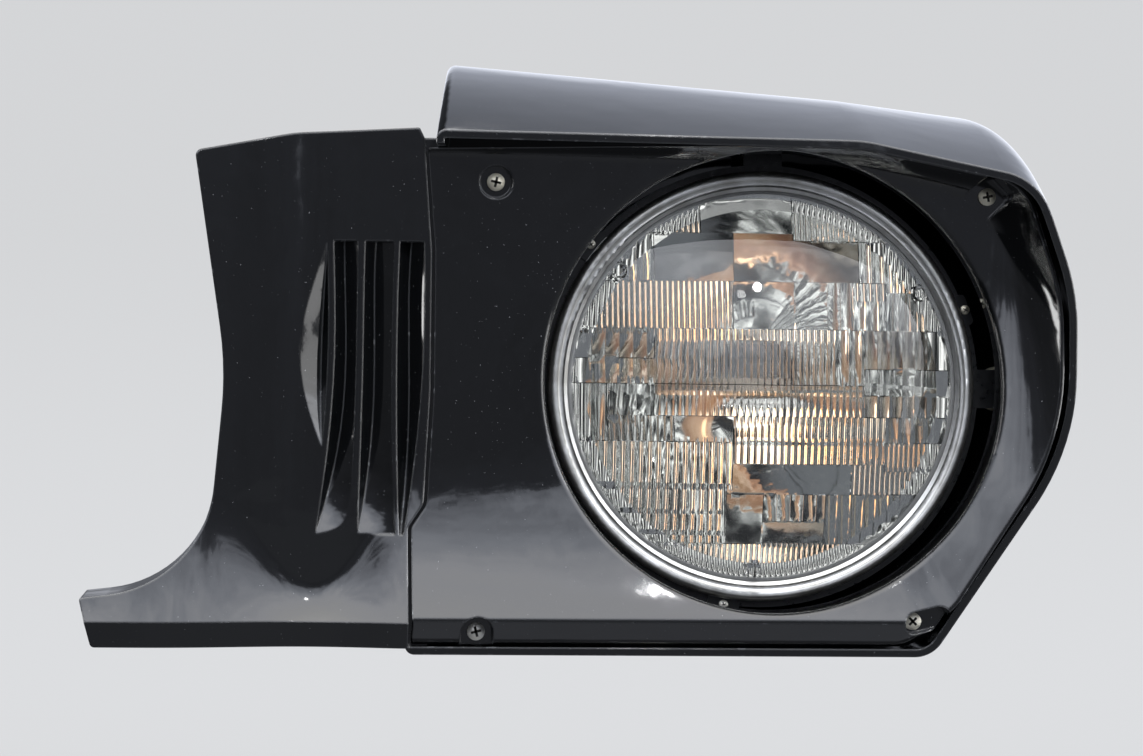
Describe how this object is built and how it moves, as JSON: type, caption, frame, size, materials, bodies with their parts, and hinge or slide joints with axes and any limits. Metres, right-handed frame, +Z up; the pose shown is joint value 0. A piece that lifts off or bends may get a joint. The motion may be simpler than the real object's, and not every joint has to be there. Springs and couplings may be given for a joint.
{
  "type": "car headlamp assembly",
  "caption": "Left-hand car headlamp assembly: cast housing with a hooded brow and gilled wing, dished headlamp door, round sealed beam lamp on an aiming ring, and a rear bowl.",
  "frame": {"origin": "on the lamp's axis, in the plane where the housing bolts to the fender", "axes": "+X outboard (the car's left), +Y back into the car along the lamp's axis, +Z up"},
  "size_m": [0.4295, 0.152, 0.2587],
  "materials": {
    "housing_paint": "gloss",
    "door_paint": "gloss",
    "bright_ring": "polished",
    "lens_glass": "clear pressed",
    "silvered_glass": "polished",
    "plated_steel": "zinc plated",
    "pressed_steel": "satin",
    "nylon": "matt",
    "blade_brass": "satin",
    "lead_wire": "satin"
  },
  "bodies": {
    "housing": {"housing": "housing_paint", "headlamp_door": "door_paint", "door_screws": "plated_steel", "lamp_bowl": "pressed_steel", "bowl_screws": "plated_steel", "adjuster_nuts": "nylon", "pivot_socket": "nylon"},
    "top_adjuster": {"top_adjuster_screw": "plated_steel"},
    "lamp": {"mounting_ring": "pressed_steel", "pivot_ball": "plated_steel", "side_adjuster_screw": "plated_steel", "lens": "lens_glass", "reflector": "silvered_glass", "filament_mount": "lead_wire", "terminals": "blade_brass", "retaining_ring": "bright_ring", "ring_screws": "plated_steel"}
  },
  "joints": [
    {"name": "vertical_aim", "type": "hinge", "parent": "housing", "child": "top_adjuster", "pos_m": [0.11, -0.046, 0], "axis": [-0.9247, 0, -0.3807], "range_deg": [-4, 4]},
    {"name": "horizontal_aim", "type": "hinge", "parent": "top_adjuster", "child": "lamp", "pos_m": [0, -0.046, 0.11], "axis": [0.3807, 0, 0.9247], "range_deg": [-4, 4]}
  ]
}
